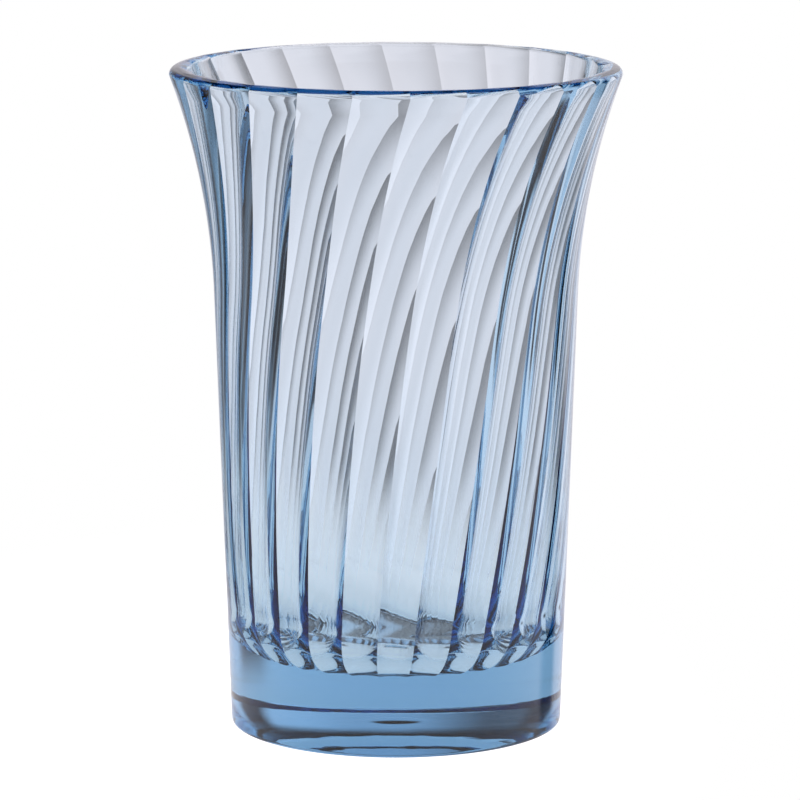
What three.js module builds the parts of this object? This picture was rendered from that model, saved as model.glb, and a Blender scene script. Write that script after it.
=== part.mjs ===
// A flared glass vase: smooth outside, with swirling ribs inside and a thick solid base.
// Millimetres, +Z up. The origin is on the vase's axis, at the surface that it stands on.
import * as THREE from 'three';

// Driving dimensions.
const height = 200;
const footRadius = 50; // outside radius at the foot
const bodyTaper = 0.0352; // outside radius gained per millimetre of height
const flareStart = 132; // height where the outside starts to curve outwards
const flareRadius = 207; // radius of that curve, seen from the side

const wallThickness = 6.8; // outside to rib crest, from the rim down to the thin part of the wall
const heelThickness = 14.3; // outside to rib crest, where the wall meets the floor
const heelRise = 92; // height over which the wall thins from the heel upwards
const rimOuterRound = 2;
const rimInnerRound = 1.2;

const floorHeight = 21.2; // inside floor, above the surface that the vase stands on
const floorRound = 15; // radius of the curve between the wall and the floor
const bodyFloor = 7.2; // glass under the inside floor that belongs to the ribbed body

const ribCount = 24;
const valleyDepth = 1.5; // depth of the valley between two ribs
const rimValleyDepth = 1.3; // the same at the rim, where the valleys scallop the rounded inner edge
const valleyFadeHeight = 55; // height over which the valleys get shallower towards the rim
const swirlStart = 6; // turn of the ribs at the inside floor, in degrees
const swirlPerHeight = 0.125; // degrees that the ribs turn in a millimetre of height
const flareSwirl = 6; // degrees of turn that the ribs gain where the vase flares
const flareSwirlRise = 90; // height over which they gain it, down from the rim

const footEdgeRound = 1.2;
const restRingWidth = 4.8; // flat ring that touches the surface
const hollowHeight = 4.3; // height of the domed hollow under the base
const markRadius = 6.5; // ground and polished spot at the middle of that dome
const markDepth = 0.5;

// Fineness of the surfaces.
const facetsPerRib = 4;
const wallRows = 14;
const flareRows = 7;
const roundRows = 4;
const floorRoundRows = 6;
const domeRows = 7;

const glassColour = 0x9fc0da;

// Heights and radii that follow from the driving dimensions.
const seamHeight = floorHeight - bodyFloor;
const heelHeight = floorHeight + floorRound;

// Values from start to end, both included, in equal steps.
function steps(start, end, count) {
  return Array.from({ length: count + 1 }, (_, i) => start + ((end - start) * i) / count);
}

// The outside is a straight taper, which an arc turns outwards above flareStart.
function outerRadius(z) {
  const rise = Math.max(z - flareStart, 0);
  const flare = flareRadius - Math.sqrt(flareRadius ** 2 - rise ** 2);
  return footRadius + bodyTaper * z + flare;
}

// The inside follows the outside, and the wall thickens towards the heel.
function crestRadius(z) {
  const thinning = Math.min(Math.max((z - heelHeight) / heelRise, 0), 1);
  const extra = (heelThickness - wallThickness) * (1 - thinning) ** 2;
  return outerRadius(z) - wallThickness - extra;
}

// The valleys are even up the wall and get shallower towards the rim.
function valleyAt(z) {
  const fade = Math.max(1 - (height - z) / valleyFadeHeight, 0);
  return valleyDepth - (valleyDepth - rimValleyDepth) * fade ** 2;
}

// How far the ribs have turned at a height: evenly, and more where the vase flares.
function swirlAt(z) {
  const even = swirlPerHeight * Math.max(z - floorHeight, 0);
  const flared = Math.max(1 - (height - z) / flareSwirlRise, 0);
  return THREE.MathUtils.degToRad(swirlStart + even + flareSwirl * flared ** 2);
}

// One ring of an outline. A valley is cut to this depth between the ribs,
// outwards and, by the tilt, downwards.
function ring(radius, z, valley = 0, tilt = 0) {
  return { radius, z, valley, tilt };
}

// Rings round a quarter of a circle, from one angle to another, in degrees above outwards.
function roundedEdge(centreRadius, centreZ, round, fromDegrees, toDegrees, valley = 0) {
  return steps(fromDegrees, toDegrees, roundRows).map((degrees) => {
    const angle = THREE.MathUtils.degToRad(degrees);
    return ring(centreRadius + round * Math.cos(angle), centreZ + round * Math.sin(angle), valley);
  });
}

// Turns an outline about the axis, cuts the valleys and swirls the result.
// The outline runs from the axis outwards, up and back to the axis.
function turned(outline) {
  const profile = outline.map(({ radius, z }) => new THREE.Vector2(radius, z));
  const geometry = new THREE.LatheGeometry(profile, ribCount * facetsPerRib);
  const position = geometry.attributes.position;
  for (let i = 0; i < position.count; i += 1) {
    const { radius, z, valley, tilt } = outline[i % outline.length];
    const facet = Math.floor(i / outline.length) % (ribCount * facetsPerRib);
    const acrossRib = (2 * (facet % facetsPerRib)) / facetsPerRib - 1; // -1 in a valley, 0 on a crest
    const cut = valley * acrossRib ** 2;
    const angle = (facet / (ribCount * facetsPerRib)) * 2 * Math.PI + swirlAt(z);
    const cutRadius = radius + cut * Math.cos(tilt);
    position.setXYZ(i, cutRadius * Math.cos(angle), cutRadius * Math.sin(angle), z - cut * Math.sin(tilt));
  }
  return geometry;
}

// The ribbed body: the flared wall and the inside floor.
function ribbedBody() {
  const outerRimZ = height - rimOuterRound;
  const outerRimCentre = outerRadius(outerRimZ) - rimOuterRound;
  const innerRimZ = height - rimInnerRound;
  const innerRimCentre = crestRadius(innerRimZ) + rimInnerRound;

  const outside = [
    ring(outerRadius(seamHeight), seamHeight),
    ...steps(flareStart, outerRimZ, flareRows).slice(0, -1).map((z) => ring(outerRadius(z), z)),
  ];
  const rim = [
    ...roundedEdge(outerRimCentre, outerRimZ, rimOuterRound, 0, 90),
    ...roundedEdge(innerRimCentre, innerRimZ, rimInnerRound, 90, 180, valleyAt(innerRimZ)),
  ];
  const inside = steps(innerRimZ, heelHeight, wallRows).slice(1).map((z) => {
    return ring(crestRadius(z), z, valleyAt(z));
  });
  const heelCentre = crestRadius(heelHeight) - floorRound;
  const heelValley = valleyAt(heelHeight);
  const heel = steps(0, Math.PI / 2, floorRoundRows).slice(1).map((angle) => {
    const radius = heelCentre + floorRound * Math.cos(angle);
    return ring(radius, heelHeight - floorRound * Math.sin(angle), heelValley * Math.cos(angle), angle);
  });
  return turned([ring(0, seamHeight), ...outside, ...rim, ...inside, ...heel, ring(0, floorHeight)]);
}

// The solid base: a thick disc, hollowed underneath so that it stands on a ring.
function solidBase() {
  const ringOuter = footRadius - footEdgeRound;
  const ringInner = ringOuter - restRingWidth;
  const dome = steps(markRadius, ringInner, domeRows).map((radius) => {
    return ring(radius, hollowHeight * (1 - (radius / ringInner) ** 2));
  });
  const spot = ring(0, hollowHeight + markDepth);
  const edge = roundedEdge(ringOuter, footEdgeRound, footEdgeRound, -90, 0);
  return turned([spot, ...dome, ...edge, ring(outerRadius(seamHeight), seamHeight), ring(0, seamHeight)]);
}

// Pale blue glass in a mesh of its own.
function glassPiece(name, geometry) {
  const material = new THREE.MeshStandardMaterial({ color: glassColour, roughness: 0.05, metalness: 0 });
  const piece = new THREE.Mesh(geometry, material);
  piece.name = name;
  return piece;
}

const vase = new THREE.Group();
vase.add(glassPiece('ribbed_body', ribbedBody()));
vase.add(glassPiece('solid_base', solidBase()));

export default vase;
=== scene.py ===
"""A flared vase of pale blue glass, smooth outside, with swirling ribs inside.

The whole vase is one skin of glass, worked out as a surface of two parameters: the way along its
outline, and the angle round its axis. It stands on a plain pale floor in a white studio with dark cards.
"""
import math

import bpy
import numpy as np
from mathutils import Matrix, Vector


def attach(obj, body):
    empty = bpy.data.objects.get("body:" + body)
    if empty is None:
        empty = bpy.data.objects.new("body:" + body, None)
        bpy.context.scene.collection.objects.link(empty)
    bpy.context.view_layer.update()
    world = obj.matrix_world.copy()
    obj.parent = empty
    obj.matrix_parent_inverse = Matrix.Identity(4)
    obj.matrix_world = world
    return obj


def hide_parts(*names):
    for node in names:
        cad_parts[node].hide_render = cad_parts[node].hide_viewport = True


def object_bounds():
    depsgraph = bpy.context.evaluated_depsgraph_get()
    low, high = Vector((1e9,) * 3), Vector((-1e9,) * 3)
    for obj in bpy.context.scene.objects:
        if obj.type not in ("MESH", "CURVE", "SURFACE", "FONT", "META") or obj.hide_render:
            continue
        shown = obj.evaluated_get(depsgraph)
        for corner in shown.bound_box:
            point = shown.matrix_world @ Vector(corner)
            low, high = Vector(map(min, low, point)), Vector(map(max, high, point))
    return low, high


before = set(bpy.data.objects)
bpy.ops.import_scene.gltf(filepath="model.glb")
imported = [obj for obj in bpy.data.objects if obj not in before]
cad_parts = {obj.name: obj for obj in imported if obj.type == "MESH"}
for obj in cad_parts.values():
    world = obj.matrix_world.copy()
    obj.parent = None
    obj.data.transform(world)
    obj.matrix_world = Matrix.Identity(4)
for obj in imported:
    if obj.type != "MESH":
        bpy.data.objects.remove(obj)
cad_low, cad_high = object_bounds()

MM = 0.001

# The outside.
height = cad_high.z
foot_radius = 50 * MM
body_taper = 0.0352  # outside radius gained per metre of height
flare_start = 132 * MM
flare_radius = 207 * MM

# The wall and the floor.
wall_thickness = 6.8 * MM  # outside to rib crest, from the rim down to the thin part of the wall
heel_thickness = 14.3 * MM  # outside to rib crest, where the wall meets the floor
heel_rise = 92 * MM  # height over which the wall thins from the heel upwards
rim_outer_round = 2 * MM
rim_inner_round = 1.2 * MM
rim_crown = 0.3 * MM  # rise of the rim's top between its two rounded edges
floor_height = 21.2 * MM
floor_round = 15 * MM

# The ribs.
rib_count = 24
valley_depth = 1.5 * MM
rim_valley_depth = 1.3 * MM
valley_fade_height = 55 * MM  # height over which the valleys get shallower towards the rim
swirl_start = math.radians(6.0)
swirl_per_height = math.radians(125)  # turn of the ribs per metre of height
flare_swirl = math.radians(6.0)  # more turn that the ribs gain where the vase flares
flare_swirl_start = 110 * MM

# The underside.
foot_edge_round = 1.2 * MM
rest_ring_width = 4.8 * MM
hollow_height = 4.3 * MM
mark_radius = 6.5 * MM
mark_depth = 0.5 * MM

# Fineness.
columns_per_rib = 18
wall_rows = 76
outside_rows = 40
round_rows = 6
heel_rows = 26
dome_rows = 26
spot_rows = 6
rim_top_rows = 7
floor_rows = 8
sharp_angle = math.radians(28)  # edges sharper than this stay sharp in the shading

# The glass.
glass_index = 1.52
glass_tint = (0.07, 0.51, 0.765, 1)
glass_density = 20.0
# Two layers of unevenness in its surface: how the pattern is squeezed along X, Y and Z, how fine and
# how detailed it is, and how high.
surface_layers = (
    ((1.0, 1.0, 0.35), 90.0, 2.0, 0.04 * MM),
    ((1.0, 1.0, 12.0), 60.0, 3.0, 0.004 * MM),
)

# The floor.
floor_radius = 0.30
floor_corners = 96
floor_fade = 0.11  # the floor fades out from this distance to its edge
floor_narrowing = 2.0  # how many times quicker it fades across than to the front and back
floor_shift = -0.05  # the middle of the lit part of the floor, off the axis
floor_gap = 0.05 * MM
floor_colour = (0.8, 0.8, 0.8, 1)
floor_roughness = 0.6
floor_white = (0.94, 0.89, 0.89)
floor_glow = 0.78
seen_glow = 0.6  # more glow where the floor is seen without glass in front

# The studio, by azimuth from the back to the right, and by height above the horizon, in degrees.
studio_white = (0.79, 0.77, 0.83)
dim_side = (-25, 1, 0.2, 1.0)  # light falls off to the left: from and to azimuth, and its two levels
dim_end = (54, 70)  # azimuth to both sides where it has come back
bright_side = (6, 26, 1.0, 1.25)
# Dark cards: azimuth near and far to both sides, low and high edge, softness and level.
cards = (
    (40, 60, -20, 45, 5, 0.0),
    (-10, 190, 28, 64, 5, 0.0),
)

# The camera, with its distance and rise in heights of the vase.
camera_distance = 7.5258
camera_rise = 1.8548
camera_pitch = math.radians(10.256)
camera_lens = 228.2
camera_shift = 0.005

heel_height = floor_height + floor_round


def outer_radius(z):
    """A straight taper, which an arc turns outwards above flare_start."""
    rise = np.maximum(z - flare_start, 0)
    return foot_radius + body_taper * z + flare_radius - np.sqrt(flare_radius**2 - rise**2)


def crest_radius(z):
    """The outside less the wall, and less a share of the heel that falls off as a square."""
    thinning = np.clip((z - heel_height) / heel_rise, 0, 1)
    return outer_radius(z) - wall_thickness - (heel_thickness - wall_thickness) * (1 - thinning) ** 2


def valley_at(z):
    """Depth of the valleys: even up the wall, then less towards the rim as a square."""
    fade = np.clip(1 - (height - z) / valley_fade_height, 0, 1)
    return valley_depth - (valley_depth - rim_valley_depth) * fade**2


def swirl_at(z):
    """Turn of the ribs: even with height, and more by a square where the vase flares."""
    flare = np.clip((z - flare_swirl_start) / (height - flare_swirl_start), 0, None)
    return swirl_start + swirl_per_height * np.maximum(z - floor_height, 0) + flare_swirl * flare**2


def rows(radius, z, valley=0.0, tilt=0.0):
    """Rows of an outline: radius, height, valley depth and the valley's tilt from outwards to down."""
    return np.stack(np.broadcast_arrays(radius, z, valley, tilt), axis=1).astype(float)


def arc(centre_radius, centre_z, round_radius, start, end, count):
    """Rows on an arc about a centre, its angles in degrees above outwards."""
    angle = np.radians(np.linspace(start, end, count + 1))
    return rows(centre_radius + round_radius * np.cos(angle), centre_z + round_radius * np.sin(angle))


def underside():
    """A hollow with a polished spot at its middle, then the resting ring and the foot's rounded edge.

    The hollow's height falls off as the square of the radius, to nothing at the ring. The spot adds
    a lower one of the same form.
    """
    ring_outer = foot_radius - foot_edge_round
    ring_inner = ring_outer - rest_ring_width
    spot = np.linspace(0, mark_radius, spot_rows + 1)[:-1]
    dome = np.linspace(mark_radius, ring_inner, dome_rows)
    radius = np.concatenate([spot, dome])
    z = hollow_height * (1 - (radius / ring_inner) ** 2)
    z = z + mark_depth * np.maximum(1 - (radius / mark_radius) ** 2, 0)
    edge = arc(ring_outer, foot_edge_round, foot_edge_round, -90, 0, round_rows)
    return np.vstack([rows(radius, z), edge])


def outside():
    """The outside of the wall, from just above the foot to just under the rim."""
    z = np.linspace(2 * foot_edge_round, height - rim_outer_round - rim_crown, outside_rows + 1)
    return rows(outer_radius(z), z)[:-1]


def rim():
    """Two rounded edges with a low crown between them, a parabola across the rim.

    The valleys scallop the inner edge and get shallower evenly across the crown.
    """
    outer_z = height - rim_crown - rim_outer_round
    inner_z = height - rim_crown - rim_inner_round
    outer_centre = outer_radius(outer_z) - rim_outer_round
    inner_centre = crest_radius(inner_z) + rim_inner_round
    across = np.linspace(0, 1, rim_top_rows + 1)[1:-1]
    top = rows(
        outer_centre + (inner_centre - outer_centre) * across,
        height - rim_crown + 4 * rim_crown * across * (1 - across),
    )
    outer_edge = arc(outer_centre, outer_z, rim_outer_round, 0, 90, round_rows)
    inner_edge = arc(inner_centre, inner_z, rim_inner_round, 90, 180, round_rows)
    top[:, 2] = rim_valley_depth * across
    inner_edge[:, 2] = rim_valley_depth
    return np.vstack([outer_edge, top, inner_edge])


def ribbed_wall():
    """The inside of the wall, from the rim's rounded edge down to the heel."""
    z = np.linspace(height - rim_crown - rim_inner_round, heel_height, wall_rows + 1)[1:]
    return rows(crest_radius(z), z, valley_at(z))


def heel_and_floor():
    """A quarter circle from the wall to the floor, then the flat floor.

    The valleys die away round the quarter circle as the cosine of the angle, and tilt from outwards
    to downwards with it.
    """
    angle = np.linspace(0, math.pi / 2, heel_rows + 1)[1:]
    centre = crest_radius(heel_height) - floor_round
    heel = rows(
        centre + floor_round * np.cos(angle),
        heel_height - floor_round * np.sin(angle),
        valley_at(heel_height) * np.cos(angle),
        angle,
    )
    flat = rows(np.linspace(centre, 0, floor_rows + 1)[1:], floor_height)
    return np.vstack([heel, flat])


def glass_skin():
    """The closed skin of the vase.

    Each point of the outline goes round the axis. Across a rib, from valley to valley, the skin is
    cut back by the valley depth times the square of the distance from the crest, outwards on the
    wall and downwards on the floor, and the whole ring is turned by the swirl at its height.
    """
    outline = np.vstack([underside(), outside(), rim(), ribbed_wall(), heel_and_floor()])
    radius, z, valley, tilt = (column[:, None] for column in outline.T)
    columns = rib_count * columns_per_rib
    column = np.arange(columns)[None, :]
    across = 2 * (column % columns_per_rib) / columns_per_rib - 1
    cut = valley * across**2
    angle = column / columns * 2 * math.pi + swirl_at(z)
    cut_radius = radius + cut * np.cos(tilt)
    x = cut_radius * np.cos(angle)
    y = cut_radius * np.sin(angle)
    grid = np.stack([x, y, z - cut * np.sin(tilt)], 2)
    return closed_mesh("vase_glass", grid)


def closed_mesh(name, grid):
    """A mesh from a grid of rings, whose first and last rings are single points on the axis."""
    ring_count, columns = grid.shape[0] - 2, grid.shape[1]
    points = np.vstack([grid[1:-1].reshape(-1, 3), grid[0, :1], grid[-1, :1]])
    here = np.arange(columns)
    beside = (here + 1) % columns
    ring = np.arange(ring_count - 1)[:, None] * columns
    next_ring = ring + columns
    last_ring = (ring_count - 1) * columns
    first_pole = np.full(columns, ring_count * columns)
    last_pole = first_pole + 1
    quads = np.stack([ring + here, ring + beside, next_ring + beside, next_ring + here], 2)
    first_fan = np.stack([first_pole, beside, here], 1)
    last_fan = np.stack([last_pole, last_ring + here, last_ring + beside], 1)
    faces = quads.reshape(-1, 4).tolist() + first_fan.tolist() + last_fan.tolist()
    piece = placed_mesh(name, points, faces)
    piece.data.shade_smooth()
    piece.data.set_sharp_from_angle(angle=sharp_angle)
    return piece


def placed_mesh(name, points, faces):
    """An object in the scene, with a mesh of these points and faces."""
    mesh = bpy.data.meshes.new(name)
    mesh.from_pydata(points.tolist(), [], faces)
    piece = bpy.data.objects.new(name, mesh)
    bpy.context.scene.collection.objects.link(piece)
    return piece


def node(tree, kind, inputs=None, **settings):
    """A shader node with its settings and its input values or links."""
    made = tree.nodes.new(kind)
    for key, value in settings.items():
        setattr(made, key, value)
    for key, value in (inputs or {}).items():
        if isinstance(value, bpy.types.NodeSocket):
            tree.links.new(value, made.inputs[key])
        else:
            made.inputs[key].default_value = value
    return made


def maths(tree, operation, *values):
    """The output of a Math node."""
    return node(tree, "ShaderNodeMath", dict(enumerate(values)), operation=operation).outputs[0]


def vector_maths(tree, operation, *values):
    """The outputs of a Vector Math node."""
    return node(tree, "ShaderNodeVectorMath", dict(enumerate(values)), operation=operation).outputs


def object_place(tree):
    """Where the shaded point is on the object."""
    return node(tree, "ShaderNodeTexCoord").outputs["Object"]


def ramp(tree, value, start, end, low=0.0, high=1.0):
    """A smooth step from low to high as the value goes from start to end."""
    inputs = {"Value": value, "From Min": start, "From Max": end, "To Min": low, "To Max": high}
    return node(tree, "ShaderNodeMapRange", inputs, interpolation_type="SMOOTHSTEP").outputs["Result"]


def window(tree, value, start, end, soft):
    """One between start and end, with soft steps down to nothing outside them."""
    rising = ramp(tree, value, start - soft, start + soft)
    falling = ramp(tree, value, end - soft, end + soft, 1.0, 0.0)
    return maths(tree, "MULTIPLY", rising, falling)


def principled(name):
    """A new material, its node tree and its shader."""
    material = bpy.data.materials.new(name)
    material.use_nodes = True
    return material, material.node_tree, material.node_tree.nodes["Principled BSDF"]


def uneven_normal(tree):
    """The normal of a surface with gentle upright waves and very fine level streaks."""
    place = object_place(tree)
    normal = None
    for squeeze, fineness, detail, rise in surface_layers:
        squeezed = node(tree, "ShaderNodeMapping", {"Vector": place, "Scale": squeeze}).outputs[0]
        noise = {"Vector": squeezed, "Scale": fineness, "Detail": detail}
        pattern = node(tree, "ShaderNodeTexNoise", noise).outputs["Fac"]
        bump = node(tree, "ShaderNodeBump", {"Height": pattern, "Strength": 1.0, "Distance": rise})
        if normal is not None:
            tree.links.new(normal, bump.inputs["Normal"])
        normal = bump.outputs[0]
    return normal


def pale_blue_glass():
    """Clear glass that takes its blue from the way that light travels inside it."""
    material, tree, shader = principled("pale_blue_glass")
    shader.inputs["Base Color"].default_value = (1, 1, 1, 1)
    shader.inputs["Transmission Weight"].default_value = 1.0
    shader.inputs["IOR"].default_value = glass_index
    shader.inputs["Roughness"].default_value = 0.0
    tree.links.new(uneven_normal(tree), shader.inputs["Normal"])
    tint = {"Color": glass_tint, "Density": glass_density}
    volume = node(tree, "ShaderNodeVolumeAbsorption", tint).outputs[0]
    tree.links.new(volume, tree.nodes["Material Output"].inputs["Volume"])
    return material


def studio_light(tree):
    """The level of the studio's light in a direction: dimmer to the left, with the dark cards in it."""
    direction = node(tree, "ShaderNodeTexCoord").outputs["Generated"]
    x, y, z = node(tree, "ShaderNodeSeparateXYZ", {0: direction}).outputs
    azimuth = maths(tree, "MULTIPLY", maths(tree, "ARCTAN2", x, y), math.degrees(1))
    rise = maths(tree, "MULTIPLY", maths(tree, "ARCSINE", z), math.degrees(1))
    side = maths(tree, "ABSOLUTE", azimuth)
    light = ramp(tree, azimuth, *dim_side)
    light = maths(tree, "MAXIMUM", light, ramp(tree, side, *dim_end))
    light = maths(tree, "MULTIPLY", light, ramp(tree, azimuth, *bright_side))
    for near, far, low, high, soft, level in cards:
        across = window(tree, side, near, far, soft)
        card = maths(tree, "MULTIPLY", across, window(tree, rise, low, high, soft))
        through = maths(tree, "ADD", maths(tree, "MULTIPLY", card, level - 1), 1.0)
        light = maths(tree, "MULTIPLY", light, through)
    return light


def studio_world():
    """The studio round the vase, and plain white where the camera sees past the vase."""
    world = bpy.data.worlds.new("studio")
    bpy.context.scene.world = world
    world.use_nodes = True
    tree = world.node_tree
    light = studio_light(tree)
    grey = node(tree, "ShaderNodeCombineXYZ", {0: light, 1: light, 2: light}).outputs[0]
    tinted = vector_maths(tree, "MULTIPLY", grey, studio_white)[0]
    studio = node(tree, "ShaderNodeBackground", {"Color": tinted}).outputs[0]
    backdrop = node(tree, "ShaderNodeBackground", {"Color": (1, 1, 1, 1)}).outputs[0]
    seen = node(tree, "ShaderNodeLightPath").outputs["Is Camera Ray"]
    mixed = node(tree, "ShaderNodeMixShader", {0: seen, 1: studio, 2: backdrop}).outputs[0]
    tree.links.new(mixed, tree.nodes["World Output"].inputs["Surface"])


def white_floor():
    """White that glows, and fades out in an oval so that no edge shows through the glass."""
    material, tree, shader = principled("white_floor")
    shader.inputs["Base Color"].default_value = floor_colour
    shader.inputs["Roughness"].default_value = floor_roughness
    shader.inputs["Emission Color"].default_value = (*floor_white, 1)
    seen = node(tree, "ShaderNodeLightPath").outputs["Is Camera Ray"]
    glow = maths(tree, "ADD", maths(tree, "MULTIPLY", seen, seen_glow), floor_glow)
    tree.links.new(glow, shader.inputs["Emission Strength"])
    moved = vector_maths(tree, "ADD", object_place(tree), (-floor_shift, 0, 0))[0]
    oval = vector_maths(tree, "MULTIPLY", moved, (floor_narrowing, 1, 1))[0]
    distance = vector_maths(tree, "LENGTH", oval)["Value"]
    tree.links.new(ramp(tree, distance, floor_fade, floor_radius, 1.0, 0.0), shader.inputs["Alpha"])
    return material


def studio_floor():
    """A round floor a hair below the foot, which casts its light up into the glass."""
    around = np.linspace(0, 2 * math.pi, floor_corners + 1)[:-1]
    x = floor_radius * np.cos(around)
    y = floor_radius * np.sin(around)
    points = np.stack([x, y, np.full(floor_corners, -floor_gap)], 1)
    floor = placed_mesh("floor", points, [list(range(floor_corners))])
    floor.data.materials.append(white_floor())


def camera():
    """A long lens about a metre and a half in front, looking down a little."""
    data = bpy.data.cameras.new("camera")
    data.lens = camera_lens
    data.shift_x = camera_shift
    holder = bpy.data.objects.new("camera", data)
    holder.location = (0, -camera_distance * height, camera_rise * height)
    holder.rotation_euler = (math.radians(90) - camera_pitch, 0, 0)
    bpy.context.scene.collection.objects.link(holder)
    bpy.context.scene.camera = holder


camera()
studio_world()
studio_floor()
vase = glass_skin()
vase.data.materials.append(pale_blue_glass())
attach(vase, "root")
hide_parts("ribbed_body", "solid_base")

bounces = 24  # light passes many glass surfaces on its way
bpy.context.scene.view_settings.view_transform = "Standard"
bpy.context.scene.cycles.max_bounces = bounces
bpy.context.scene.cycles.transmission_bounces = bounces
bpy.context.scene.cycles.glossy_bounces = bounces
